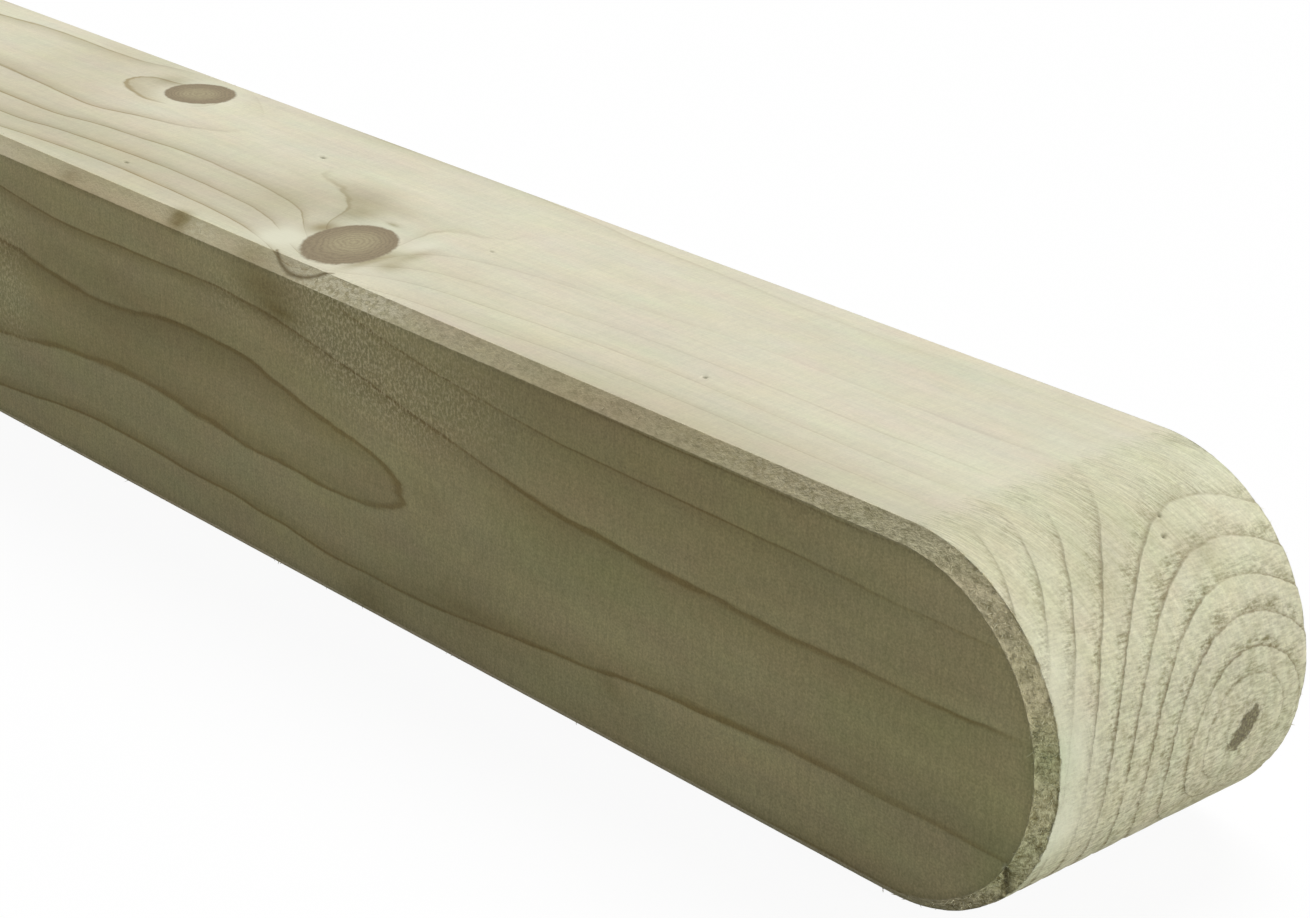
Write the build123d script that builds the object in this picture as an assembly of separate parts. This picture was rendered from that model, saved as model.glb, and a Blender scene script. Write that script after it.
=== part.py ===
from build123d import *
import os

# Round-top fence post: one planed length of square softwood with a half-round head.
# It lies along X on the plane z = 0, its sawn foot at -X and its head at +X. The origin is
# under the middle of its length and width. Sizes are in millimetres.

# Planed section
section_width = 70.0  # between the two flat faces that show the round outline, along Y
section_depth = 70.0  # between the two faces that roll over into the head, along Z

# Length from the sawn foot to the tip of the head, along X
post_length = 1800.0

# Bevel planed off each long arris and carried round both rims of the head
arris_bevel = 3.0

# The head is a full half-round, so its arc meets both faces without a step
head_radius = section_depth / 2

foot_x = -post_length / 2
tip_x = post_length / 2
shoulder_x = tip_x - head_radius


def side_outline():
    """Face of the post as seen along Y: straight lengths, a half-round head and a square foot."""
    under = Line((foot_x, 0), (shoulder_x, 0))
    head = ThreePointArc((shoulder_x, 0), (tip_x, head_radius), (shoulder_x, section_depth))
    over = Line((shoulder_x, section_depth), (foot_x, section_depth))
    foot = Line((foot_x, section_depth), (foot_x, 0))
    return Plane.XZ * make_face([under, head, over, foot])


def running_arrises(blank):
    """Edges that the bevel follows: along, over the head and back, but not across the foot."""
    arrises = ShapeList()
    for flat_face in blank.faces().filter_by(Axis.Y):
        arrises += flat_face.edges().sort_by(Axis.X)[1:]
    return arrises


def fence_post():
    """The post as one piece of timber."""
    blank = extrude(side_outline(), amount=section_width / 2, both=True)
    return chamfer(running_arrises(blank), length=arris_bevel)


os.makedirs("parts", exist_ok=True)
export_step(fence_post(), "parts/post.step")
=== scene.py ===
"""Round-top fence post: one planed length of pressure-treated softwood with a half-round head."""

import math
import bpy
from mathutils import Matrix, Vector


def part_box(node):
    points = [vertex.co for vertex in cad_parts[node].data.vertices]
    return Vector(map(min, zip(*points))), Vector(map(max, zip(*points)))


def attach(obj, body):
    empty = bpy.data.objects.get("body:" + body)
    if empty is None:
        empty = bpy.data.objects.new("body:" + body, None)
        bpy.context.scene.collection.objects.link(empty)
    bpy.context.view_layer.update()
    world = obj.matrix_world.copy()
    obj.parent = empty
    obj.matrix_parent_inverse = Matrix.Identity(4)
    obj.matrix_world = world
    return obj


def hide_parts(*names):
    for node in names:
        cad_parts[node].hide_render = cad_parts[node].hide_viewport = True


bl_info = {
    "name": "Round-top fence post",
    "version": (1, 0, 0),
    "blender": (4, 5, 0),
    "location": "3D View > Sidebar > Fence post",
    "description": "Planed softwood post with year rings, knots, a milled round head and torn bevels",
    "category": "Object",
}

from functools import partial
from typing import NamedTuple

import bmesh
import bpy
import numpy as np
from bpy.props import FloatProperty, FloatVectorProperty, IntProperty, PointerProperty
from mathutils import Matrix, Vector
from mathutils.geometry import delaunay_2d_cdt

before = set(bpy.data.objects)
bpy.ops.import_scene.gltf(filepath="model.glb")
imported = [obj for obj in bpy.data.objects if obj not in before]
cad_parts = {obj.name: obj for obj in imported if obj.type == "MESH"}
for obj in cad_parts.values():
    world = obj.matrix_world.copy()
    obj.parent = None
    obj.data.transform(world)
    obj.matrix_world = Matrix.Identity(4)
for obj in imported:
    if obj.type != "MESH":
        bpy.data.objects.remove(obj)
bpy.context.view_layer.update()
LOW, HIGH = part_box("post")

MM = 0.001

# Kinds of node, and settings that many nodes share
MATH, RANGE, MIX = "ShaderNodeMath", "ShaderNodeMapRange", "ShaderNodeMix"
NOISE, VECTOR = "ShaderNodeTexNoise", "ShaderNodeVectorMath"
TIMES, PLUS = {"operation": "MULTIPLY"}, {"operation": "ADD"}
TIMES_PLUS, LARGER = {"operation": "MULTIPLY_ADD"}, {"operation": "MAXIMUM"}
EASED = {"interpolation_type": "SMOOTHSTEP"}
BLENDED = {"data_type": "RGBA"}
TINTED = {"data_type": "RGBA", "blend_type": "MULTIPLY"}

# The post in millimetres, from the frame. Places on it are measured from the tip of the head
# (x, negative along the post), from the near flat face (y) and from the floor (z).
LENGTH = -2 * LOW.x / MM
WIDTH = (HIGH.y - LOW.y) / MM
DEPTH = (HIGH.z - LOW.z) / MM
RADIUS = DEPTH / 2
STRAIGHT = LENGTH - RADIUS
HEAD_ARC = math.pi * RADIUS
TIP = Vector((-LOW.x, LOW.y, LOW.z))
SHOWN = -430  # the photograph shows the post from its tip to here

# Spacing of the skin's points: along the head's arrises, at the far end of the long ones, at the
# most inside a face and over the sawn foot; then how many lie across a face and across a bevel
FINE, ALONG, COARSE, SAWN = 0.5, 6.0, 8.0, 1.4
FACE_POINTS, BEVEL_POINTS = 46, 4

# Loose fibres: radius at the root, curl, and how many grow on a square metre of torn bevel,
# on the near side and on the far one
FIBRE_RADIUS, FIBRE_CURL = 0.09, 250.0
NEAR_FIBRES, FAR_FIBRES = 1.5e6, 0.15e6

# Ring boundaries, as distances from the pith
RING_RADII = (0.0, 4.6, 10.3, 14.6, 20.3, 25.9, 31.3, 36.5, 41.8, 47.2, 52.4, 57.9, 63.3, 68.6, 74.0)

# The pith's wander through the post: x, y, z
PITH_PATH = (
    (-1800, 43.0, 33.0),
    (-1500, 45.5, 30.5),
    (-1100, 42.5, 35.5),
    (-700, 46.0, 33.0),
    (-430, 44.5, 35.0),
    (-330, 45.2, 34.6),
    (-280, 46.4, 34.4),
    (-215, 47.0, 33.6),
    (-165, 48.6, 30.4),
    (-127, 50.2, 28.8),
    (-60, 51.4, 29.6),
    (0, 51.5, 29.4),
)


class Knot(NamedTuple):
    """A branch from the pith to the surface, and how it swells the rings around it."""

    x: float
    y: float
    z: float
    start: float
    wide: float
    tall: float
    bulge: float
    behind: float
    ahead: float
    lean: float = 0.0


KNOTS = (
    Knot(-207.1, 18.9, 70, -212.8, 10.2, 9.1, 8.0, 8.0, 6.0, 0.22),
    Knot(-318, 56, 70, -324, 9.0, 7.4, 6.0, 20.0, 11.0),
    Knot(-213, 30, 0, -219, 8.0, 8.5, 6.0, 12.0, 7.0),
    Knot(-311, 70, 22, -320, 8.5, 7.5, 5.0, 14.0, 7.0),
    Knot(-604, 0, 44, -616, 9.0, 9.5, 6.0, 16.0, 8.0),
    Knot(-618, 70, 30, -629, 7.5, 7.0, 5.0, 12.0, 7.0),
    Knot(-944, 30, 70, -956, 10.0, 8.5, 6.5, 18.0, 8.0),
    Knot(-958, 46, 0, -968, 6.5, 6.5, 4.5, 12.0, 7.0),
    Knot(-1282, 0, 24, -1296, 8.5, 8.0, 5.5, 14.0, 8.0),
    Knot(-1300, 70, 46, -1312, 9.5, 8.5, 6.0, 16.0, 8.0),
    Knot(-1590, 52, 70, -1602, 7.0, 7.5, 5.0, 12.0, 7.0),
    Knot(-1612, 22, 0, -1624, 9.0, 8.0, 6.0, 14.0, 8.0),
)


class Spot(NamedTuple):
    """A place with an amount, and how far that reaches along the grain and across it."""

    x: float
    y: float
    z: float
    amount: float
    along: float
    across: float


# Where the rings lie nearer to the pith, or further from it (under 0), in millimetres
PUSHES = (
    Spot(-190, 0, 33, -1.3, 30, 13),
    Spot(-170, 0, 32, -0.7, 18, 10),
    Spot(-210, 0, 60, 1.0, 14, 8),
    Spot(-240, 0, 46, -1.0, 28, 8),
    Spot(-97, 0, 52, -0.9, 40, 8),
    Spot(-222, 0, 12, 1.2, 18, 9),
    Spot(-275, 0, 12, 1.5, 45, 12),
    Spot(-300, 0, 60, 0.7, 30, 10),
    Spot(-10, 0, 38, -0.6, 60, 14),
    Spot(-280, 16, 70, 1.4, 38, 15),
    Spot(-268, 50, 70, 2.2, 30, 18),
    Spot(-246, 44, 70, -0.9, 8, 8),
    Spot(-228, 32, 70, -1.0, 14, 9),
    Spot(-220, 22, 70, -2.3, 7, 7),
    Spot(-191, 45, 70, -1.5, 9, 12),
    Spot(-312, 34, 70, 0.8, 34, 12),
    Spot(-130, 50, 70, -1.5, 50, 20),
    Spot(-337, 55, 70, -1.8, 8, 9),
    Spot(-385, 62, 70, -2.2, 40, 12),
    Spot(-205, 3, 70, -0.8, 10, 5),
)

# What the surface shows here and there: amounts of a kind add up, and the sum is kept from 0 to 1
MARKS = {
    "faint": (
        Spot(-120, 45, 70, 0.65, 90, 22), Spot(-205, 52, 70, 0.7, 25, 9), Spot(-290, 52, 70, 1.0, 22, 17),
        Spot(-325, 70, 70, 1.0, 50, 7), Spot(-60, 64, 70, 0.5, 40, 9), Spot(-35, 18, 70, 0.35, 25, 14),
        Spot(-222, 54, 70, 1.0, 30, 8), Spot(-9, 1, 56, 0.7, 9, 8), Spot(-2, 1, 42, 0.8, 9, 9),
        Spot(-2, 2, 25, 0.9, 9, 10), Spot(-32, 30, 70, 0.7, 9, 40), Spot(-4, 4, 50, 0.5, 9, 7),
        Spot(-243, 49.5, 70, 1.0, 9, 4), Spot(-246, 43.5, 70, 1.0, 6, 3.5), Spot(-313, 47, 70, 0.9, 8, 2.8),
    ),
    "dark": (
        Spot(-228, 38, 70, 0.38, 7, 5), Spot(-221, 31, 70, 0.5, 5, 5), Spot(-192, 22, 70, 0.5, 2, 5),
        Spot(-190, 15, 70, 0.5, 3, 3), Spot(-216, 38, 70, 0.25, 8, 3), Spot(-195.3, 12.5, 70, 0.65, 1.6, 5.5),
        Spot(-210.7, 31.8, 70, 0.9, 2.0, 0.6), Spot(-238, 28, 70, 0.3, 14, 12),
        Spot(-219, 1, 68.5, 0.4, 6, 2.4), Spot(-245.2, 1.5, 69, 1.4, 3.2, 2.2),
        # The broad spots on the near face at x -90 and -262 are painted shade on its upper part
        Spot(-287, 1, 68.4, 0.5, 3.5, 1.6), Spot(-90, 0, 57, 0.42, 110, 17),
        Spot(-262, 0, 46, 0.35, 70, 7), Spot(-30, 0, 58, -0.2, 30, 10),
        Spot(-17, 34, 66, 0.26, 12, 15), Spot(-11, 24, 60, 0.2, 9, 5), Spot(-10, 49, 60, 0.3, 8, 4),
        Spot(-5, 48, 12, 0.2, 9, 9),
        Spot(-212, 0, 63, 0.6, 11, 5), Spot(-207, 0, 58.5, 0.6, 6, 1.6), Spot(-150, 0, 14, 0.4, 24, 4),
        Spot(-180, 0, 5, 0.5, 9, 4), Spot(-106, 0, 13, 0.4, 4, 2), Spot(-128, 0, 43.5, 0.5, 8, 1.3),
        Spot(-160, 0, 33.5, 0.25, 6, 2), Spot(-300, 14, 70, 0.42, 85, 20), Spot(-95, 4, 70, 0.18, 60, 9),
        Spot(-300, 0, 68.5, -0.3, 90, 4), Spot(-352, 52, 70, 0.25, 28, 26), Spot(-331, 58, 70, 0.4, 5, 4),
        Spot(-218.5, 19.5, 70, 0.8, 3, 3.5), Spot(-196, 19, 70, 0.4, 2.5, 4),
    ),
    "green": (
        Spot(-115, 0, 35, 0.6, 22, 8), Spot(-28, 0, 32, 0.45, 26, 12), Spot(-9, -2, 18, 0.8, 8, 10),
        Spot(-1, 0, 40, 1.0, 5, 6), Spot(-330, 0, 30, 0.25, 40, 14),
    ),
    # Rough patches of raised grain, where glints are also painted
    "peel_and_glint": (
        Spot(-186, 0, 60, 1.0, 20, 9), Spot(-172, 0, 50, 0.8, 20, 7), Spot(-150, 0, 58, 0.6, 16, 8),
        Spot(-226, 0, 58, 0.4, 8, 6), Spot(-314, 0, 38, 0.7, 8, 16), Spot(-186, 1.5, 68.5, 1.1, 16, 4),
        Spot(-238, 1.5, 68.5, 0.5, 5, 3), Spot(-60, 1.5, 68.5, 0.35, 30, 3),
    ),
    "pale": (
        Spot(-219, 9, 70, 1.4, 6, 5), Spot(-222, 14, 70, 0.3, 5, 3), Spot(-196, 27, 70, 0.6, 3, 5),
        Spot(-190, 8, 70, 0.35, 12, 6), Spot(-8, 5, 52, 0.45, 8, 6), Spot(-2, 4, 40, 0.8, 8, 7),
        Spot(-2, 4, 26, 0.7, 10, 7),
    ),
    "smooth": (Spot(-4, 6, 44, 0.7, 12, 6), Spot(-4, 5, 24, 0.7, 12, 7)),
    "pit": (
        Spot(-258.4, 48.5, 70, 0.7, 0.9, 0.35), Spot(-282.8, 13.2, 70, 0.7, 0.8, 0.3),
        Spot(-104.7, 21.6, 70, 0.8, 0.45, 0.4), Spot(-184.6, 36.5, 70, 0.35, 0.7, 0.3),
        Spot(-17.2, 45, 65.2, 0.8, 0.35, 0.35), Spot(-14.1, 42.7, 63.1, 0.75, 0.4, 0.5),
        Spot(-7.9, 0.2, 17.4, 1.0, 0.35, 1.2), Spot(-8.4, 0.8, 15.3, 1.0, 0.35, 1.3),
        Spot(-8.9, 1.4, 13.2, 1.0, 0.35, 1.3), Spot(-9.4, 1.8, 11.2, 0.9, 0.35, 1.2),
    ),
    "core": (
        Spot(-0.2, 53.0, 31.2, 0.9, 3, 2.3), Spot(-0.5, 51.5, 29.1, 0.9, 3, 2.5),
        Spot(-1.0, 50.2, 27.0, 0.9, 3, 2.1),
    ),
    "tuft": (Spot(-4.4, 0, 43, 1.0, 3, 3), Spot(-14, 1, 62, 0.6, 3, 3)),
}


def linear(code):
    """An sRGB hex value as the linear colour that Blender works in."""
    parts = [int(code[k:k + 2], 16) / 255 for k in (1, 3, 5)]
    return (*[c / 12.92 if c <= 0.04045 else ((c + 0.055) / 1.055) ** 2.4 for c in parts], 1.0)


def length_property(name, description, size):
    """A length property, in metres as Blender keeps it, with its default in millimetres."""
    return FloatProperty(name=name, description=description, default=size * MM, min=0, precision=5,
                         unit="LENGTH")


def in_millimetres(value):
    """A length property's value in millimetres, without the rounding of its single precision."""
    return round(value / MM, 4)


def colour_property(name, description, code):
    """A colour property, with its default as an sRGB hex value."""
    return FloatVectorProperty(name=name, description=description, default=linear(code), size=4,
                               min=0, max=1, subtype="COLOR")


class PostSizes(bpy.types.PropertyGroup):
    """Sizes of the post's worked edges and of its relief."""

    bevel: length_property("Bevel", "Bevel on each long arris and round the head", 3.0)
    ring_step: length_property("Ring step", "Step down at each ring on the head", 0.18)
    torn_depth: length_property("Torn depth", "Depth of torn grain on the bevels", 0.4)
    pit_depth: length_property("Pit depth", "Depth of pits and of the split", 0.8)
    saw_depth: length_property("Saw depth", "Depth of the saw's marks on the foot", 0.25)
    fibre_length: length_property("Fibre length", "Longest loose fibre, apart from tufts", 1.3)
    fibre_seed: IntProperty(name="Fibre seed", description="Seed of the loose fibres", default=7)


class PostColours(bpy.types.PropertyGroup):
    """Colours of the treated wood, and tints that multiply them."""

    planed: colour_property("Planed wood", "Earlywood on planed faces", "#DFDAC1")
    line: colour_property("Ring line", "Tint of latewood on planed faces", "#C8BDA8")
    # Darker than the planed wood: painted shade for the face turned away from the key light
    side: colour_property("Near side, painted shade", "Planed near face, painted darker as shade", "#C5BC90")
    # Also tints the painted shade on the near face's upper part
    smudge_and_shade: colour_property("Smudge and shade", "Tint of dark smudges and of painted shade", "#B5AC92")
    salts: colour_property("Salts", "Tint of greener places", "#E6F0E2")
    end_pale: colour_property("Pale end grain", "Milled earlywood on the head", "#DCDABE")
    end_dull: colour_property("Dull end grain", "Fibre ends in the pale bands", "#CBC8A8")
    end_torn: colour_property("Torn end grain", "Rough grain on the head", "#908A64")
    # Fine cracks, and painted shade at the foot of the step at each ring line
    end_crack_and_shade: colour_property("Crack and step shade", "Fine cracks at the ring lines, with painted shade at the foot of each step", "#7C6C48")
    # Paler than the planed faces: painted light for the near bevels, which lie in shade
    bevel_planed: colour_property("Planed bevel", "Bevels along the post", "#F0E5C0")
    bevel_pale: colour_property("Pale torn bevel", "Fibres on the bevels", "#DDD6B0")
    # Painted shade in the dips of the torn bevels
    bevel_dip_shade: colour_property("Dark torn bevel", "Painted shade in the dips on the bevels", "#8A8159")
    # Painted highlight on raised fibre
    glint: colour_property("Painted glint", "Pale specks painted where raised fibre catches light", "#F4EDCE")
    halo: colour_property("Knot halo", "Pale wood round a knot", "#EFEED8")
    knot_rim: colour_property("Knot rim", "Bark side of a knot", "#897B61")
    knot_heart: colour_property("Knot heart", "Inside of a knot", "#A99E7D")
    pith: colour_property("Pith", "Soft core at the middle of the rings", "#4E4636")


class StudioSettings(bpy.types.PropertyGroup):
    """Light, floor and camera."""

    key: FloatProperty(name="Key light", description="Soft light from above and behind", default=2.43)
    fill: FloatProperty(name="Fill light", description="Low soft light on the head", default=2.75)
    front: FloatProperty(name="Front light", description="Faint light on the near side", default=0.2)
    sky: FloatProperty(name="Sky light", description="Even light from all round", default=0.18)
    floor: colour_property("Floor", "Floor as the camera sees it, where it takes the shadow", "#F3F3F3")
    ground: colour_property("Ground", "Floor as it lights the post's underside", "#AAA8A0")
    white: FloatProperty(name="White", description="Share of the floor that shows even white", default=0.93,
                         min=0, max=1, subtype="FACTOR")
    lens: FloatProperty(name="Lens", description="Focal length", default=85.6, unit="CAMERA")


def add(tree, kind, *inputs, out=0, stops=None, named=(), **settings):
    """Add a node with its settings, fill its inputs in order with values or links, and give an output."""
    node = tree.nodes.new(kind)
    for name, value in settings.items():
        setattr(node, name, value)
    if stops:
        ramp = node.color_ramp.elements
        for at, _ in stops[2:]:
            ramp.new(at)
        for element, (at, shade) in zip(ramp, stops):
            element.position, element.color = at, (shade, shade, shade, 1)
    given = list(zip([s for s in node.inputs if s.enabled], inputs))
    given += [(node.inputs[name], value) for name, value in dict(named).items()]
    for socket, value in given:
        if isinstance(value, bpy.types.NodeSocket):
            tree.links.new(value, socket)
        elif value is not None:
            socket.default_value = value
    if not node.outputs:
        return node
    return [s for s in node.outputs if s.enabled][out] if isinstance(out, int) else node.outputs[out]


def smooth_path(at, stations, values):
    """Values along a smooth curve through the given stations."""
    stations, values = np.array(stations, float), np.array(values, float)
    slopes = np.gradient(values, stations)
    k = np.clip(np.searchsorted(stations, at) - 1, 0, len(stations) - 2)
    span = stations[k + 1] - stations[k]
    t = np.clip((at - stations[k]) / span, 0, 1)
    return ((1 + 2 * t) * (1 - t) ** 2 * values[k] + t * (1 - t) ** 2 * span * slopes[k]
            + t * t * (3 - 2 * t) * values[k + 1] + t * t * (t - 1) * span * slopes[k + 1])


def ease(low, high, value):
    """Smooth step from 0 at low to 1 at high."""
    t = np.clip((value - low) / (high - low), 0, 1)
    return t * t * (3 - 2 * t)


def spread(spots, x, y, z):
    """Sum of the spots' amounts at each place."""
    total = np.zeros(len(x))
    for spot in spots:
        far = ((x - spot.x) / spot.along) ** 2 + ((y - spot.y) ** 2 + (z - spot.z) ** 2) / spot.across ** 2
        total += spot.amount * np.exp(-far)
    return total


def growth(x, y, z):
    """Ring number at each place, and its distance from the nearest knot's axis as a share of the knot."""
    track = np.array(PITH_PATH)
    pith = [smooth_path(x, track[:, 0], track[:, k]) for k in (1, 2)]
    reach = np.hypot(y - pith[0], z - pith[1]) + spread(PUSHES, x, y, z)
    nearest = np.full(len(x), 4.0)
    for knot in KNOTS:
        root = np.array([knot.start] + [smooth_path(np.array([knot.start]), track[:, 0], track[:, k])[0]
                                        for k in (1, 2)])
        axis = np.array([knot.x, knot.y, knot.z]) - root
        length = np.linalg.norm(axis)
        axis /= length
        gap = np.column_stack((x, y, z)) - root
        along = gap @ axis
        off = gap - along[:, None] * axis
        grow = np.clip(along / length, 0.02, 2)
        share = np.hypot((off[:, 0] + knot.lean * off[:, 1]) / knot.wide,
                         np.hypot(off[:, 1], off[:, 2]) / knot.tall)
        distance = np.linalg.norm(off, axis=1)
        clear = np.maximum(distance - distance / np.maximum(share, 1e-6) * grow, 0)
        ahead = ease(-knot.wide, knot.wide, off[:, 0])
        fade = knot.behind + (knot.ahead - knot.behind) * ahead
        reach = reach - knot.bulge * np.exp(-clear / fade) * ease(0, 0.35 * length, along)
        nearest = np.minimum(nearest, np.where(along > 0, share / grow, 4.0))
    return smooth_path(reach, RING_RADII, np.arange(len(RING_RADII))), nearest


def outline_point(s, inset=0.0):
    """x and z on the outline, unrolled to s: 0 at the top shoulder, and on round the head."""
    turn = np.clip(s / RADIUS, 0, math.pi)
    back = np.minimum(s, 0) - np.maximum(s - HEAD_ARC, 0)
    return back - RADIUS + (RADIUS - inset) * np.sin(turn), RADIUS + (RADIUS - inset) * np.cos(turn)


def outline_inset(x, z):
    """How far inside the round-headed outline a place on a flat side lies."""
    return RADIUS - np.hypot(np.maximum(x + RADIUS, 0), z - RADIUS)


def arris_step(back):
    """Spacing of points along the arrises at a distance back from the shoulder."""
    return np.clip(FINE + 0.006 * (back - 20), FINE, ALONG)


def arris_stations():
    """Unrolled places of the points along an arris, from the foot over the head and back."""
    back = [0.0]
    while back[-1] < STRAIGHT:
        back.append(back[-1] + float(arris_step(back[-1])))
    back = np.array(back) * STRAIGHT / back[-1]
    head = np.linspace(0, HEAD_ARC, round(HEAD_ARC / FINE) + 1)
    return np.concatenate((-back[:0:-1], head, HEAD_ARC + back[1:]))


def squares(low, high, size):
    """Centres of squares, each halved until it is about size(u, v) wide."""
    cell = COARSE
    u, v = [a.ravel() for a in np.meshgrid(np.arange(low[0] + cell / 2, high[0], cell),
                                           np.arange(low[1] + cell / 2, high[1] + cell, cell))]
    kept = []
    while len(u):
        small = size(u, v) > 0.71 * cell
        kept.append(np.column_stack((u[small], v[small])))
        cell /= 2
        u, v = [np.concatenate([w[~small] + a * cell / 2 for a in signs])
                for w, signs in ((u, (-1, -1, 1, 1)), (v, (-1, 1, -1, 1)))]
    return np.vstack(kept)


def filled(outline, inner):
    """Flat triangles that fill an outline and use the inner points."""
    loop = [(k, (k + 1) % len(outline)) for k in range(len(outline))]
    points = [Vector(p) for p in np.vstack((outline, inner)).tolist()]
    flat, _, faces, *_ = delaunay_2d_cdt(points, loop, [], 1, 1e-5, False)
    return np.array([tuple(p) for p in flat]), np.array(faces)


def seam_gap(x, y, z):
    """Distance from the bark seam round the second knot, where it crosses the near bevel."""
    gap = np.abs(np.hypot(x + 203.5, y - 18.0) - 17.2) + np.maximum(np.abs(x + 203.5) - 9.5, 0)
    return np.where((y < 6) & (z > 66), gap, 99.0)


def small_marks(x, y, z):
    """Widest useful triangle round the knots and pits."""
    size = np.full(len(x), COARSE)
    for knot in KNOTS:
        far = np.sqrt((x - knot.x) ** 2 + (y - knot.y) ** 2 + (z - knot.z) ** 2)
        size = np.minimum(size, (1.0 if knot.x > SHOWN else 1.6) + 0.15 * np.maximum(far - 15, 0))
    size = np.minimum(size, 0.3 + 0.5 * np.maximum(seam_gap(x, y, z) - 0.5, 0))
    for pit in MARKS["pit"]:
        far = np.sqrt((x - pit.x) ** 2 + (y - pit.y) ** 2 + (z - pit.z) ** 2)
        size = np.minimum(size, 0.25 + 0.5 * np.maximum(far - max(pit.across, pit.along), 0))
    return size


def post_mesh(bevel):
    """The post's skin as one closed mesh, with points close together where the work is fine."""
    s_line = arris_stations()
    slope = bevel * math.sqrt(2)
    y_line = np.linspace(bevel, WIDTH - bevel, FACE_POINTS)
    z_line = np.linspace(bevel, DEPTH - bevel, FACE_POINTS)
    q_line = np.linspace(0, slope, BEVEL_POINTS)
    parts = []

    def keep(outline, inner, place):
        flat, faces = filled(outline, inner)
        parts.append((np.column_stack(place(flat[:, 0], flat[:, 1])), faces))

    def frame_of(u_line, v_line):
        return np.vstack([np.column_stack((u_line, np.full(len(u_line), v_line[0])))[:-1],
                          np.column_stack((np.full(len(v_line), u_line[-1]), v_line))[:-1],
                          np.column_stack((u_line, np.full(len(u_line), v_line[-1])))[:0:-1],
                          np.column_stack((np.full(len(v_line), u_line[0]), v_line))[:0:-1]])

    def shaft_size(x, y, z, edge):
        back = np.maximum(-RADIUS - x, 0)
        grown = np.minimum(FINE + 0.06 * back, np.where(x > SHOWN - 10, COARSE / 2, COARSE))
        grown = np.minimum(grown, arris_step(back) + 0.5 * np.maximum(edge, 0))
        return np.minimum(grown, small_marks(x, y, z))

    # The belt: top face, round head and underside in one strip
    def belt_size(s, y):
        x, z = outline_point(s)
        return shaft_size(x, y, z, np.minimum(y - bevel, WIDTH - bevel - y))

    inner = squares((-STRAIGHT, bevel), (HEAD_ARC + STRAIGHT, WIDTH - bevel), belt_size)
    room = np.minimum.reduce([inner[:, 1] - bevel, WIDTH - bevel - inner[:, 1],
                              inner[:, 0] + STRAIGHT, HEAD_ARC + STRAIGHT - inner[:, 0]])
    inner = inner[room > 0.4 * belt_size(inner[:, 0], inner[:, 1])]

    def on_belt(s, y):
        x, z = outline_point(s)
        return x, y, z

    keep(frame_of(s_line, y_line), inner, on_belt)

    # The flat sides
    def side_size(x, z):
        inset = outline_inset(x, z) - bevel
        return np.minimum(arris_step(np.maximum(-RADIUS - x, 0)) + 0.5 * np.maximum(inset, 0),
                          shaft_size(x - 4, side_y, z, inset))

    x_rim, z_rim = outline_point(s_line, bevel)
    foot_rim = np.column_stack((np.full(len(z_line), -LENGTH), z_line))[1:-1]
    rim = np.vstack((np.column_stack((x_rim, z_rim)), foot_rim))
    for side_y in (0.0, WIDTH):
        inner = squares((-LENGTH, 0), (0, DEPTH), side_size)
        room = np.minimum(outline_inset(inner[:, 0], inner[:, 1]) - bevel, inner[:, 0] + LENGTH)
        inner = inner[room > 0.4 * side_size(inner[:, 0], inner[:, 1])]
        keep(rim, inner, lambda x, z: (x, np.full(len(x), side_y), z))

    # The bevels between them
    def bevel_size(s, q):
        inset = q / slope * bevel
        x, z = outline_point(s, inset)
        return np.minimum(arris_step(np.maximum(np.maximum(-s, s - HEAD_ARC), 0)),
                          small_marks(x, bevel - inset, z))

    inner = squares((-STRAIGHT, 0), (HEAD_ARC + STRAIGHT, slope), bevel_size)
    room = np.minimum.reduce([inner[:, 1], slope - inner[:, 1],
                              inner[:, 0] + STRAIGHT, HEAD_ARC + STRAIGHT - inner[:, 0]])
    inner = inner[room > 0.4 * bevel_size(inner[:, 0], inner[:, 1])]
    for near in (True, False):
        def on_bevel(s, q):
            inset = q / slope * bevel
            x, z = outline_point(s, inset)
            return x, (bevel - inset if near else WIDTH - bevel + inset), z

        keep(frame_of(s_line, q_line), inner, on_bevel)

    # The sawn foot
    corner = q_line[1:-1] / slope * bevel
    foot = np.vstack([
        np.column_stack((y_line, np.zeros(len(y_line)))),
        np.column_stack((WIDTH - bevel + corner, corner)),
        np.column_stack((np.full(len(z_line), WIDTH), z_line)),
        np.column_stack((WIDTH - corner, DEPTH - bevel + corner)),
        np.column_stack((y_line[::-1], np.full(len(y_line), DEPTH))),
        np.column_stack((bevel - corner, DEPTH - corner)),
        np.column_stack((np.zeros(len(z_line)), z_line[::-1])),
        np.column_stack((corner, bevel - corner)),
    ])
    grid = np.arange(SAWN, min(WIDTH, DEPTH) - 1, SAWN)
    inner = np.array([(y, z) for y in grid for z in grid])
    edge_y, edge_z = [np.minimum(inner[:, k], (WIDTH, DEPTH)[k] - inner[:, k]) for k in (0, 1)]
    inner = inner[edge_y + edge_z > bevel + 1]
    keep(foot, inner, lambda y, z: (np.full(len(y), -LENGTH), y, z))

    mesh = bpy.data.meshes.new("fence_post")
    starts = np.cumsum([0] + [len(points) for points, _ in parts])
    points = np.vstack([points for points, _ in parts]) * MM + np.array(TIP)
    faces = np.vstack([faces + start for (_, faces), start in zip(parts, starts)])
    mesh.from_pydata(points, [], faces)
    shell = bmesh.new()
    shell.from_mesh(mesh)
    bmesh.ops.remove_doubles(shell, verts=shell.verts, dist=0.02 * MM)
    bmesh.ops.recalc_face_normals(shell, faces=shell.faces)
    if any(len(edge.link_faces) != 2 for edge in shell.edges):
        raise RuntimeError("the post's skin is not closed")
    shell.to_mesh(mesh)
    shell.free()
    mesh.set_sharp_from_angle(angle=math.radians(25))
    return mesh


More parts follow.
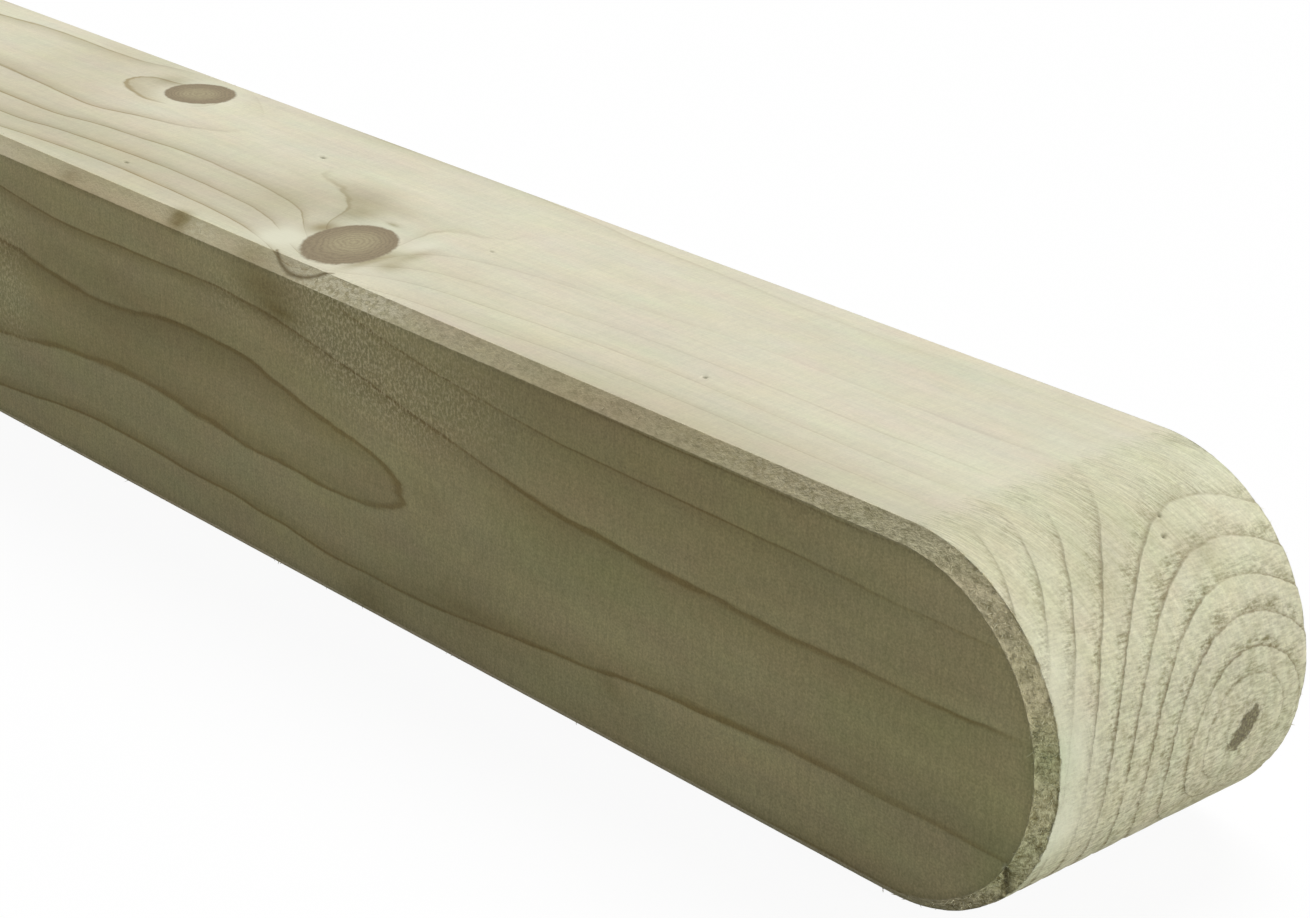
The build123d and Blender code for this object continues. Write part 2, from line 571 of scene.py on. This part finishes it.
def write_growth(mesh, bevel):
    """Keep on each point what the relief and the material follow."""
    places = np.empty(len(mesh.vertices) * 3)
    mesh.vertices.foreach_get("co", places)
    x, y, z = ((places.reshape(-1, 3) - np.array(TIP)) / MM).T
    ring, knot = growth(x, y, z)
    inset = outline_inset(x, z)
    side_gap, belt_gap = np.minimum(y, WIDTH - y), np.minimum(z, DEPTH - z)
    foot = x < 0.01 - LENGTH
    sawn = foot & (np.minimum(side_gap, belt_gap) > 0.5) & (side_gap + belt_gap > bevel + 0.5)
    arris = np.where(sawn, 9.0, side_gap - inset)
    turn = np.arctan2(np.maximum(x + RADIUS, 0), z - RADIUS)
    steep = np.where(x > -RADIUS, np.sin(turn), 0)
    end = steep * np.where(arris > bevel - 0.01, 1.0, np.where(arris < 0.01 - bevel, 0.0, 0.75))
    arc = np.where(x > -RADIUS, RADIUS * turn, np.where(z > RADIUS, x + RADIUS, HEAD_ARC - RADIUS - x))
    arc = np.where(foot, 14 + 0.25 * z, arc)
    marks = {name: np.clip(spread(spots, x, y, z), 0, 1) for name, spots in MARKS.items()}
    line = (1 - marks.pop("faint")) * np.where(np.abs(arris) < bevel, 0.2 + 0.8 * ease(-185, -200, x), 1)
    line *= np.where(z > DEPTH - 0.01, 0.42 + 0.58 * ease(-185, -225, x), 1)
    seam = np.exp(-(seam_gap(x, y, z) / 0.35) ** 2)
    values = {"ring": ring, "knot": knot, "arris": arris, "end": end, "arc": arc, "line": line, "seam": seam}
    values.update(marks)
    for name, numbers in values.items():
        mesh.attributes.new(name, "FLOAT", "POINT").data.foreach_set("value", numbers)


def relief_tree():
    """Geometry Nodes: ring steps on the head, torn bevels, pits, saw marks on the foot and loose fibres."""
    tree = bpy.data.node_groups.new("worked softwood relief", "GeometryNodeTree")
    tree.is_modifier = True
    for name, kind in (("Geometry", "Geometry"), ("Ring step", "Float"), ("Torn depth", "Float"),
                       ("Pit depth", "Float"), ("Saw depth", "Float"), ("Fibre length", "Float"),
                       ("Seed", "Int"), ("Wood", "Material")):
        tree.interface.new_socket(name, in_out="INPUT", socket_type="NodeSocket" + kind)
    tree.interface.new_socket("Geometry", in_out="OUTPUT", socket_type="NodeSocketGeometry")
    put = partial(add, tree)
    given = tree.nodes.new("NodeGroupInput").outputs
    ring, arris, end, smooth, pit, tuft = [put("GeometryNodeInputNamedAttribute", name, data_type="FLOAT")
                                           for name in ("ring", "arris", "end", "smooth", "pit", "tuft")]
    place = put("GeometryNodeInputPosition")
    normal = put("GeometryNodeInputNormal")
    x, y, _ = put("ShaderNodeSeparateXYZ", place).node.outputs

    # Head: a step down just outside each ring line, with torn grain in the step
    phase = put(MATH, ring, operation="FRACT")
    low = put(RANGE, phase, 0.0, 0.5, 1.0, 0.0, **EASED)
    low = put(MATH, low, put(RANGE, ring, 0.4, 1.1, 0.0, 1.0), **TIMES)
    on_head = put(RANGE, end, 0.15, 0.6, 0.0, 1.0, **EASED)
    coarse = put(NOISE, place, 1000 / 1.6, 3.0, 0.6)
    torn = put(RANGE, coarse, 0.3, 0.7, 0.35, 1.35)
    step = put(MATH, low, torn, **TIMES)
    step = put(MATH, step, given["Ring step"], **TIMES)
    step = put(MATH, step, on_head, **TIMES)
    step = put(MATH, step, put(RANGE, smooth, 0.0, 1.0, 1.0, 0.35), **TIMES)

    # Bevels: grain torn out by the cutter, deeper on the head
    off = put(MATH, arris, operation="ABSOLUTE")
    on_bevel = put(RANGE, off, 3.3, 2.4, 0.0, 1.0, **EASED)
    chips = put(NOISE, place, 1000 / 2.6, 4.0, 0.65)
    chips = put(RANGE, chips, 0.32, 0.68, 0.0, 1.0)
    torn_share = put(RANGE, end, 0.0, 0.5, 0.2, 1.0)
    chips = put(MATH, chips, torn_share, **TIMES)
    chips = put(MATH, chips, on_bevel, **TIMES)
    chips = put(MATH, chips, given["Torn depth"], **TIMES)

    # Foot: the saw's marks
    at_foot = put(MATH, x, -LENGTH / 2 * MM + 0.1 * MM, operation="LESS_THAN")
    kerf = put(NOISE, put(VECTOR, place, (0, 1000 / 3, 1000 / 50), **TIMES), 1.0, 1.0)
    kerf = put(MATH, put(MATH, kerf, at_foot, **TIMES), given["Saw depth"], **TIMES)

    # Pits and the split, then everything pushed in along the normal
    hole = put(MATH, pit, given["Pit depth"], **TIMES)
    depth = put(MATH, put(MATH, step, chips, **PLUS), put(MATH, kerf, hole, **PLUS), **PLUS)
    push = put(VECTOR, normal, operation="SCALE", named={"Scale": put(MATH, depth, -MM, **TIMES)})
    skin = put("GeometryNodeSetPosition", given["Geometry"], named={"Offset": push})

    # Loose fibres on the bevels, lying along the cutter's path with their tips up
    shaggy = put(MATH, put(MATH, on_bevel, put(RANGE, end, 0.0, 0.5, 0.04, 1.0), **TIMES),
                 put(MATH, tuft, 3.0, 1.0, **TIMES_PLUS), **TIMES)
    thick = put(MATH, shaggy, put(RANGE, y, -0.03, 0.0, NEAR_FIBRES, FAR_FIBRES), **TIMES)
    roots = put("GeometryNodeDistributePointsOnFaces", skin, named={"Density": thick, "Seed": given["Seed"]})
    onward = put(VECTOR, (0, 1, 0), normal, operation="CROSS_PRODUCT")
    toward = put(VECTOR, onward, put("FunctionNodeRandomValue", (-0.7, -0.9, -0.7), (0.7, 0.5, 0.7),
                                     data_type="FLOAT_VECTOR"), **PLUS)
    toward = put(VECTOR, toward, put(VECTOR, normal, operation="SCALE", named={"Scale": 0.3}), **PLUS)
    turn = put("FunctionNodeAlignRotationToVector", axis="Z", named={"Vector": toward})
    hair = put("GeometryNodeMeshCone", named={"Vertices": 3, "Side Segments": 2, "Radius Top": 0.0,
                                              "Radius Bottom": FIBRE_RADIUS * MM, "Depth": MM})
    spot = put("ShaderNodeSeparateXYZ", place, out=2)
    curl = put(MATH, put(MATH, spot, 2.0, operation="POWER"), FIBRE_CURL, **TIMES)
    curl = put("ShaderNodeCombineXYZ", curl, 0.0, 0.0)
    hair = put("GeometryNodeSetPosition", hair, named={"Offset": curl})
    size = put(MATH, put("FunctionNodeRandomValue", data_type="FLOAT", named={"Min": 0.3, "Max": 1.0}),
               given["Fibre length"], **TIMES)
    longer = put(MATH, tuft, 0.8, 1.0, **TIMES_PLUS)
    size = put("ShaderNodeCombineXYZ", 1.0, 1.0, put(MATH, size, longer, **TIMES))
    hairs = put("GeometryNodeInstanceOnPoints", roots,
                named={"Instance": hair, "Rotation": turn, "Scale": size})
    hairs = put("GeometryNodeStoreNamedAttribute", hairs, domain="INSTANCE", data_type="FLOAT",
                named={"Name": "fibre", "Value": 1.0})
    whole = put("GeometryNodeJoinGeometry", skin)
    tree.links.new(hairs, whole.node.inputs[0])
    whole = put("GeometryNodeRealizeInstances", whole)
    whole = put("GeometryNodeSetMaterial", whole, named={"Material": given["Wood"]})
    put("NodeGroupOutput", whole)
    return tree


def treated_softwood(colours):
    """Pressure-treated softwood, planed and milled: matt and pale, with olive ring lines and torn grain."""
    wood = bpy.data.materials.new("treated planed softwood")
    wood.use_nodes = True
    tree = wood.node_tree
    tree.nodes.clear()
    put = partial(add, tree)
    ring, knot, arris, end, arc, line, dark, green, pale_spot, peel_and_glint, smooth, pit, core, seam, loose = [
        put("ShaderNodeAttribute", out="Fac", attribute_name=name)
        for name in ("ring", "knot", "arris", "end", "arc", "line", "dark", "green", "pale", "peel_and_glint",
                     "smooth", "pit", "core", "seam", "fibre")]
    place = put("ShaderNodeTexCoord", out="Object")
    in_mm = put(VECTOR, place, (1000.0,) * 3, **TIMES)
    x, y, _ = put("ShaderNodeSeparateXYZ", in_mm).node.outputs

    def grain(along, across, detail=2.0, rough=0.6, out=0):
        """Noise sized in millimetres along the grain and across it."""
        sizes = (1000 / along, 1000 / across, 1000 / across)
        spot = put("ShaderNodeMapping", place, named={"Scale": sizes}, vector_type="POINT")
        return put(NOISE, spot, 1.0, detail, rough, out=out)

    # Clouds of growth, drawn-out fibre, the planer's knife marks and torn crumbs. A single wood fibre is
    # 3 by 0.04 mm, too fine to show in the render, so fibre and grit are drawn 0.45 mm wide, as bundles.
    mottle = grain(60, 16, 3.0)
    cloud = grain(22, 9, 3.0, out="Color")
    streak = grain(90, 1.6, 3.0)
    fibre = grain(6, 0.45)
    hatch = grain(0.7, 4)
    grit = grain(0.45, 0.45)
    crumb = grain(1.5, 1.5, 4.0, 0.65)
    blotch = grain(7, 7)

    # The cutter's path over the head, a little aslant to the grain, with its marks as length by width
    slant = put(MATH, arc, -0.25, y, **TIMES_PLUS)
    path = put("ShaderNodeCombineXYZ", arc, slant, 0.0)
    scratch = put(NOISE, put(VECTOR, path, (1 / 3.2, 1 / 0.42, 1), **TIMES), 1.0, 2.0, 0.6)
    brush = put(NOISE, put(VECTOR, path, (1 / 14, 1 / 1.3, 1), **TIMES), 1.0, 3.0, 0.6)
    tears = put(NOISE, put(VECTOR, path, (1 / 0.55, 1 / 2.4, 1), **TIMES), 1.0, 2.0, 0.6)

    # Where the end grain shows: on the head, with a ragged border, and on the sawn foot
    border = put(MATH, arc, put(MATH, HEAD_ARC, arc, operation="SUBTRACT"), operation="MINIMUM")
    border = put(MATH, border, put(RANGE, scratch, 0.3, 0.7, -2.5, 2.5), **PLUS)
    on_head = put(RANGE, border, -2.0, 5.0, 0.0, 1.0, **EASED)
    on_head = put(MATH, on_head, put(MATH, arris, 0.0, operation="GREATER_THAN"), **TIMES)
    sawn = put(RANGE, x, -LENGTH / 2 + 0.3, -LENGTH / 2 + 0.1, 0.0, 1.0)
    cut = put(MATH, on_head, sawn, **LARGER)

    # Ring lines, a little wavy and ragged in the end grain, each year with its own strength
    wave = put(RANGE, grain(25, 5, 3.0), 0.0, 1.0, -0.07, 0.07)
    uneven = put(RANGE, arc, 30.0, 62.0, 0.0, 1.0)
    ragged = put(MATH, put(RANGE, crumb, 0.0, 1.0, -0.1, 0.1), put(RANGE, uneven, 0.0, 1.0, 0.2, 1.4),
                 **TIMES)
    ragged = put(MATH, ragged, cut, **TIMES)
    ring = put(MATH, put(MATH, ring, wave, **PLUS), ragged, **PLUS)
    ring = put(MATH, ring, 0.12, **LARGER)
    phase = put(MATH, ring, operation="FRACT")
    year = put(MATH, put(MATH, ring, operation="FLOOR"), 0.37, **TIMES)
    year = put("ShaderNodeTexWhiteNoise", year, noise_dimensions="1D")
    near_side = put(RANGE, y, -34.6, -34.95, 0.0, 1.0)
    broad = put("ShaderNodeValToRGB", phase,
                stops=[(0, 0.9), (0.03, 0.0), (0.5, 0.0), (0.74, 0.2), (0.86, 0.65), (0.95, 1.0)])
    thin = put("ShaderNodeValToRGB", phase, stops=[(0, 0.8), (0.015, 0.0), (0.95, 0.0), (0.98, 1.0)])
    fine = put(RANGE, x, LENGTH / 2 - 230, LENGTH / 2 - 150, 0.0, 1.0)
    broad = put(MATH, broad, put(RANGE, near_side, 0.0, 1.0, 0.6, 0.75), **TIMES)
    broad = put(MATH, broad, put(RANGE, fine, 0.0, 1.0, 1.0, 0.55), **TIMES)
    drawn = put(MATH, thin, put(RANGE, fine, 0.0, 1.0, 0.65, 0.7), broad, **TIMES_PLUS)
    strength = put(MATH, put(RANGE, year, 0.0, 1.0, 0.6, 1.0), put(RANGE, mottle, 0.35, 0.65, 0.65, 1.1),
                   **TIMES)
    drawn = put(MATH, put(MATH, drawn, strength, **TIMES), line, **TIMES)

    # Planed faces: soft clouds of tint, the planer's fine hatch, and painted glints where the knife raised
    # the grain
    # The near face takes its own darker colour, which is painted shade
    colour = put(MIX, near_side, colours.planed, colours.side, **BLENDED)
    tone = put(RANGE, mottle, 0.3, 0.7, 0.95, 1.04)
    for pattern, swing in ((streak, 0.03), (fibre, 0.03), (hatch, 0.03), (grit, 0.04)):
        tone = put(MATH, tone, put(RANGE, pattern, 0.3, 0.7, 1 - swing, 1 + swing), **TIMES)
    nap_glints_and_shade = put(MATH, put(RANGE, grit, 0.3, 0.7, -0.13, 0.13), put(RANGE, hatch, 0.3, 0.7, -0.045, 0.045),
              **PLUS)
    # Painted glints where the knife raised the grain, with a little painted shade between them
    glints_on_raised_grain = put(RANGE, grain(0.7, 1.0, 3.0, 0.7), 0.47, 0.6, -0.2, 1.0)
    nap_glints_and_shade = put(MATH, glints_on_raised_grain, put(MATH, peel_and_glint, 0.35, 0.04, **TIMES_PLUS), nap_glints_and_shade, **TIMES_PLUS)
    # Painted shade: a soft dark band on the near face just under the bevel
    painted_shade_under_bevel = put(RANGE, arris, -4.6, -3.2, 0.0, -0.16)
    nap_glints_and_shade = put(MATH, nap_glints_and_shade, painted_shade_under_bevel, **PLUS)
    nap_glints_and_shade = put(MATH, nap_glints_and_shade, put(RANGE, mottle, 0.3, 0.7, -0.06, 0.06), **PLUS)
    tone = put(MATH, tone, put(MATH, nap_glints_and_shade, near_side, 1.0, **TIMES_PLUS), **TIMES)
    tint = put(VECTOR, cloud, (0.14,) * 3, (0.93,) * 3, **TIMES_PLUS)
    colour = put(MIX, 1.0, colour, tone, **TINTED)
    colour = put(MIX, 1.0, colour, tint, **TINTED)
    inked = put(MIX, 1.0, colour, colours.line, **TINTED)
    planed = put(MIX, drawn, colour, inked, **BLENDED)
    # Painted glints: the raised grain mixed towards a pale colour
    glint = put(MATH, put(MATH, glints_on_raised_grain, peel_and_glint, **TIMES), 0.5, **TIMES)
    planed = put(MIX, glint, planed, colours.glint, **BLENDED)

    # Milled end grain: smooth pale bands, rough grain outside each ring line, at the line cracks and painted
    # shade
    band = put(MATH, phase, put(RANGE, blotch, 0.3, 0.7, -0.25, 0.25), **PLUS)
    torn = put(RANGE, band, 0.1, 0.75, 1.0, 0.0, **EASED)
    torn = put(MATH, torn, put(RANGE, phase, 0.9, 0.96, 1.0, 0.0), **TIMES)
    torn = put(MATH, torn, put(RANGE, mottle, 0.35, 0.6, 0.7, 1.1), **TIMES)
    torn = put(MATH, torn, put(RANGE, uneven, 0.0, 1.0, 1.0, 0.75), **TIMES)
    over = put("ShaderNodeValToRGB", put(RANGE, arc, 0.0, 100.0, 0.0, 1.0),
               stops=[(0, 0.5), (0.36, 0.16), (0.5, 0.42), (0.75, 0.66)])
    rough = put(MATH, torn, over, **LARGER)
    rough = put(MATH, rough, put(RANGE, arc, 0.0, 40.0, 0.35, 1.0), **TIMES)
    rough = put(MATH, rough, put(RANGE, smooth, 0.0, 1.0, 1.0, 0.2), **TIMES)
    lower = put(RANGE, arc, 8.0, 32.0, 0.0, 1.0)
    fur = put(MIX, lower, scratch, tears, data_type="FLOAT")
    strands = put(RANGE, fur, 0.3, 0.7, -0.4, 0.75)
    crumbs = put(RANGE, grain(2.2, 2.2, 4.0, 0.65), 0.35, 0.65, -0.3, 0.7)
    fuzz = put(MATH, crumbs, put(RANGE, arc, 8.0, 40.0, 0.3, 1.0), strands, **TIMES_PLUS)
    fuzz = put(MATH, fuzz, put(RANGE, grain(0.7, 0.7, 2.0, 0.7), 0.35, 0.65, -0.12, 0.12), **PLUS)
    shade = put(MATH, fuzz, rough, **TIMES)
    pale = put(MIX, put(RANGE, brush, 0.32, 0.68, 0.0, 0.8), colours.end_pale, colours.end_dull, **BLENDED)
    milled = put(MIX, shade, pale, colours.end_torn, **BLENDED)
    lively = put(MATH, put(RANGE, grit, 0.3, 0.7, 0.94, 1.06), put(RANGE, fur, 0.3, 0.7, 1.07, 0.93), **TIMES)
    milled = put(MIX, 1.0, milled, lively, **TINTED)
    milled = put(MIX, 1.0, milled, put(VECTOR, cloud, (0.12,) * 3, (0.95,) * 3, **TIMES_PLUS), **TINTED)
    # Dark at each ring line: fine cracks, with painted shade at the foot of the step outside it
    crack_and_shade = put("ShaderNodeValToRGB", phase,
                stops=[(0, 0.85), (0.04, 0.45), (0.13, 0.0), (0.955, 0.0), (0.984, 0.75)])
    firm = put(RANGE, crumb, 0.35, 0.65, put(RANGE, uneven, 0.0, 1.0, 0.85, 0.2), 1.1)
    firm = put(MATH, firm, put(RANGE, mottle, 0.35, 0.6, 0.55, 1.0), **TIMES)
    firm = put(MATH, firm, put(RANGE, arc, 0.0, 45.0, 0.3, 1.0), **TIMES)
    firm = put(MATH, firm, put(RANGE, ring, 1.5, 3.2, 0.45, 1.0), **TIMES)
    firm = put(MATH, firm, line, **TIMES)
    crack_and_shade = put(MATH, crack_and_shade, firm, **TIMES)
    milled = put(MIX, crack_and_shade, milled, colours.end_crack_and_shade, **BLENDED)
    colour = put(MIX, cut, planed, milled, **BLENDED)
    pale_spot = put(MATH, pale_spot, put(RANGE, near_side, 0.0, 1.0, 1.0, 0.0), **TIMES)
    colour = put(MIX, pale_spot, colour, colours.halo, **BLENDED)

    # Torn bevels: clumps of fibre with painted shade in the dips, rougher where they cross the end grain
    ripple = put(MATH, put(RANGE, crumb, 0.2, 0.8, -0.7, 0.7), put(RANGE, end, 0.0, 0.3, 0.25, 1.0), **TIMES)
    off = put(MATH, put(MATH, arris, operation="ABSOLUTE"), ripple, **PLUS)
    on_bevel = put(RANGE, off, 3.15, 2.85, 0.0, put(RANGE, sawn, 0.0, 1.0, 1.0, 0.0))
    speck = grain(1.2, 0.9, 3.0, 0.7)
    # Painted shade in the dips of the torn bevels
    dip_shade = put(MATH, put(RANGE, grain(3.2, 2.6, 4.0), 0.35, 0.65, 0.5, 0.0),
                 put(RANGE, speck, 0.36, 0.64, 0.45, -0.3), **PLUS)
    straight = put(MATH, put(RANGE, x, LENGTH / 2 - 215, LENGTH / 2 - 190, 0.12, 0.4),
                   put(RANGE, x, LENGTH / 2 - 90, LENGTH / 2 - 40, 0.0, 0.35), **PLUS)
    straight = put(MATH, peel_and_glint, 0.1, straight, **TIMES_PLUS)
    torn_share = put(RANGE, end, 0.0, 0.4, straight, put(RANGE, arc, 35.0, 75.0, 0.75, 1.35))
    bevel_pale = put(MIX, torn_share, colours.bevel_planed, colours.bevel_pale, **BLENDED)
    bevel_pale = put(MIX, 1.0, bevel_pale, tint, **TINTED)
    bevel_pale = put(MIX, drawn, bevel_pale, put(MIX, 1.0, bevel_pale, colours.line, **TINTED), **BLENDED)
    bevel_colour = put(MIX, put(MATH, dip_shade, torn_share, **TIMES), bevel_pale,
                       colours.bevel_dip_shade, **BLENDED)
    bevel_colour = put(MIX, put(MATH, loose, 0.6, **TIMES), bevel_colour,
                       colours.end_pale, **BLENDED)
    # Painted glints on the bevels, where raised fibre would catch the light
    glint = put(MATH, put(RANGE, grain(1.3, 1.1, 3.0, 0.7), 0.46, 0.56, 0.0, 1.3), peel_and_glint, **TIMES)
    bevel_colour = put(MIX, glint, bevel_colour, colours.glint, **BLENDED)
    # Far bevels dulled towards end grain, near ones kept pale: painted light on the shaded near bevels
    bevel_colour = put(MIX, put(RANGE, y, 0.0, 10.0, 0.0, 0.6), bevel_colour, colours.end_dull, **BLENDED)
    colour = put(MIX, on_bevel, colour, bevel_colour, **BLENDED)

    # Pale halo round each knot
    wander = put(MATH, knot, put(RANGE, crumb, 0.0, 1.0, -0.07, 0.07), **PLUS)
    halo = put("ShaderNodeValToRGB", put(RANGE, wander, 0.9, 2.0, 0.0, 1.0),
               stops=[(0, 0.0), (0.1, 0.15), (0.25, 0.15), (0.6, 0.0)])
    colour = put(MIX, halo, colour, colours.halo, **BLENDED)

    # Smudges, painted shade on the near face's upper part, and places that took more salts
    # Dark smudges, and painted shade on the upper near face
    colour = put(MIX, dark, colour, put(MIX, 1.0, colour, colours.smudge_and_shade, **TINTED), **BLENDED)
    colour = put(MIX, green, colour, put(MIX, 1.0, colour, colours.salts, **TINTED), **BLENDED)

    # Knots: dark bark side, browner rings inside
    turns = put(MATH, knot, put(RANGE, grain(5, 5), 0.3, 0.7, -0.06, 0.06), **PLUS)
    turns = put(MATH, put(MATH, turns, 9.0, **TIMES), operation="FRACT")
    turns = put("ShaderNodeValToRGB", turns, stops=[(0, 0.5), (0.25, 0.0), (0.6, 0.0), (0.9, 0.5)])
    inside = put("ShaderNodeValToRGB", wander,
                 stops=[(0, 0.05), (0.4, 0.2), (0.68, 0.7), (0.9, 0.85), (0.99, 1.0)])
    inside = put(MATH, turns, put(RANGE, inside, 0.0, 1.0, 0.9, 0.45), inside, **TIMES_PLUS)
    knot_colour = put(MIX, inside, colours.knot_heart, colours.knot_rim, **BLENDED)
    knot_colour = put(MIX, 1.0, knot_colour, put(RANGE, grit, 0.3, 0.7, 0.88, 1.12), **TINTED)
    in_knot = put(RANGE, wander, 1.06, 0.96, 0.0, 1.0, **EASED)
    colour = put(MIX, in_knot, colour, knot_colour, **BLENDED)

    # Pith on the head, pits and the split
    core = put(MATH, core, put(RANGE, crumb, 0.3, 0.7, -0.3, 0.3), **PLUS)
    core = put(MATH, put(RANGE, core, 0.3, 0.65, 0.0, 1.0), pit, **LARGER)
    pith = put(MIX, put(RANGE, grit, 0.35, 0.65, 0.0, 0.8), colours.pith, colours.end_torn, **BLENDED)
    colour = put(MIX, put(MATH, core, 0.9, **TIMES), colour, pith, **BLENDED)
    colour = put(MIX, put(MATH, seam, 0.85, **TIMES), colour, colours.end_crack_and_shade, **BLENDED)

    # Relief too fine for the mesh
    planed_height = put(MATH, put(MATH, fibre, 0.03, **TIMES),
                        put(MATH, hatch, put(RANGE, peel_and_glint, 0.0, 1.0, 0.03, 0.3), **TIMES), **PLUS)
    cut_height = put(MATH, put(MATH, fuzz, put(RANGE, rough, 0.0, 1.0, -0.02, -0.2), **TIMES),
                     put(MATH, crack_and_shade, 0.25, **TIMES), operation="SUBTRACT")
    height = put(MIX, cut, planed_height, cut_height, data_type="FLOAT")
    height = put(MIX, on_bevel, height, put(MATH, speck, put(RANGE, torn_share, 0.4, 1.0, 0.15, 0.6),
                                            **TIMES), data_type="FLOAT")
    bump = put("ShaderNodeBump", 1.0, MM, named={"Height": height})
    surface = put("ShaderNodeBsdfPrincipled", named={
        "Base Color": colour, "Roughness": 0.8, "Specular IOR Level": 0.3, "Normal": bump})
    put("ShaderNodeOutputMaterial", surface)
    return wood


class FENCEPOST_OT_post(bpy.types.Operator):
    """Build the post from its growth rings, knots and worked edges"""

    bl_idname = "fencepost.build_post"
    bl_label = "Build the post"

    def execute(self, context):
        sizes = context.scene.post_sizes
        bevel = in_millimetres(sizes.bevel)
        mesh = post_mesh(bevel)
        write_growth(mesh, bevel)
        blank = bpy.data.objects.new("fence_post_blank", mesh)
        context.collection.objects.link(blank)
        wood = treated_softwood(context.scene.post_colours)
        modifier = blank.modifiers.new("relief", "NODES")
        modifier.node_group = relief_tree()
        lengths = {"Ring step": sizes.ring_step, "Torn depth": sizes.torn_depth, "Pit depth": sizes.pit_depth,
                   "Saw depth": sizes.saw_depth, "Fibre length": sizes.fibre_length}
        given = {name: in_millimetres(size) for name, size in lengths.items()}
        given.update({"Seed": sizes.fibre_seed, "Wood": wood})
        for item in modifier.node_group.interface.items_tree:
            if item.name in given:
                modifier[item.identifier] = given[item.name]
        done = blank.evaluated_get(context.evaluated_depsgraph_get())
        piece = bpy.data.objects.new("fence_post", bpy.data.meshes.new_from_object(done))
        bpy.data.objects.remove(blank)
        context.collection.objects.link(piece)
        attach(piece, "root")
        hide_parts("post")
        return {"FINISHED"}


def start_seen(owner):
    """Start a paint's or a world's nodes, with 1 where the camera sees it, also in gloss and glass."""
    owner.use_nodes = True
    tree = owner.node_tree
    tree.nodes.clear()
    path = tree.nodes.new("ShaderNodeLightPath").outputs
    seen = add(tree, MATH, path["Is Camera Ray"], path["Is Glossy Ray"], **LARGER)
    return tree, add(tree, MATH, seen, path["Is Transmission Ray"], **LARGER)


class FENCEPOST_OT_stage(bpy.types.Operator):
    """Set up the pale floor, the soft light and the camera"""

    bl_idname = "fencepost.build_stage"
    bl_label = "Build the stage"

    def execute(self, context):
        scene, studio = context.scene, context.scene.post_studio
        scene.view_settings.view_transform = "Standard"

        # Camera at the photograph's place: near the head, to the right, looking down along the post
        place = Vector((1.1815, -0.3770, 0.2741))
        yaw, pitch, roll = (math.radians(angle) for angle in (42.31, 22.57, 0.88))
        ahead = Vector((-math.cos(pitch) * math.cos(yaw), math.cos(pitch) * math.sin(yaw), -math.sin(pitch)))
        level = ahead.cross(Vector((0, 0, 1))).normalized()
        upright = level.cross(ahead)
        right = math.cos(roll) * level + math.sin(roll) * upright
        up = math.cos(roll) * upright - math.sin(roll) * level
        camera = bpy.data.objects.new("camera", bpy.data.cameras.new("camera"))
        camera.data.lens, camera.data.sensor_width = studio.lens, 36
        camera.matrix_world = Matrix.Translation(place) @ Matrix((right, up, -ahead)).transposed().to_4x4()
        scene.collection.objects.link(camera)
        scene.camera = camera

        # Matt painted floor: white to the camera, with a faint shadow, and a duller ground to the post
        rim = 6.0
        mesh = bpy.data.meshes.new("floor")
        mesh.from_pydata([(-rim, -rim, 0), (rim, -rim, 0), (rim, rim, 0), (-rim, rim, 0)], [], [(0, 1, 2, 3)])
        floor = bpy.data.objects.new("floor", mesh)
        scene.collection.objects.link(floor)
        paint = bpy.data.materials.new("matt studio floor")
        tree, seen = start_seen(paint)
        ground = add(tree, "ShaderNodeBsdfDiffuse", studio.ground)
        pale = add(tree, "ShaderNodeBsdfDiffuse", studio.floor)
        glow = add(tree, "ShaderNodeEmission", linear("#FFFFFF"), 1.01)
        white = add(tree, "ShaderNodeMixShader", studio.white, pale, glow)
        shown = add(tree, "ShaderNodeMixShader", seen, ground, white)
        add(tree, "ShaderNodeOutputMaterial", shown)
        mesh.materials.append(paint)

        # White world that lights the post only faintly
        scene.world = bpy.data.worlds.new("white studio")
        tree, seen = start_seen(scene.world)
        power = add(tree, RANGE, seen, 0.0, 1.0, studio.sky, 1.0)
        glow = add(tree, "ShaderNodeBackground", linear("#FFFFFF"), power)
        add(tree, "ShaderNodeOutputWorld", glow)

        # Soft lamps: name, direction towards it, strength and apparent size in degrees
        for name, toward, power, angle in (("key", (-0.2, 0.42, 0.80), studio.key, 35),
                                           ("fill", (1.0, 0.24, 0.05), studio.fill, 25),
                                           ("front", (0.1, -1.0, 0.25), studio.front, 40)):
            lamp = bpy.data.lights.new(name, "SUN")
            lamp.energy, lamp.angle = power, math.radians(angle)
            light = bpy.data.objects.new(name, lamp)
            light.rotation_euler = Vector(toward).to_track_quat("Z", "Y").to_euler()
            scene.collection.objects.link(light)
        return {"FINISHED"}


class FENCEPOST_PT_sidebar(bpy.types.Panel):
    """Sizes, colours and light of the fence post"""

    bl_label = "Fence post"
    bl_space_type = "VIEW_3D"
    bl_region_type = "UI"
    bl_category = "Fence post"

    def draw(self, context):
        for group in (context.scene.post_sizes, context.scene.post_colours, context.scene.post_studio):
            for name in group.__annotations__:
                self.layout.prop(group, name)
        for operator in (FENCEPOST_OT_stage, FENCEPOST_OT_post):
            self.layout.operator(operator.bl_idname)


CLASSES = (PostSizes, PostColours, StudioSettings,
           FENCEPOST_OT_post, FENCEPOST_OT_stage, FENCEPOST_PT_sidebar)


def register():
    for kind in CLASSES:
        bpy.utils.register_class(kind)
    bpy.types.Scene.post_sizes = PointerProperty(type=PostSizes)
    bpy.types.Scene.post_colours = PointerProperty(type=PostColours)
    bpy.types.Scene.post_studio = PointerProperty(type=StudioSettings)


def unregister():
    del bpy.types.Scene.post_sizes, bpy.types.Scene.post_colours, bpy.types.Scene.post_studio
    for kind in reversed(CLASSES):
        bpy.utils.unregister_class(kind)


def main():
    """Build the stage and the post."""
    register()
    bpy.ops.fencepost.build_stage()
    bpy.ops.fencepost.build_post()


if __name__ == "__main__":
    main()
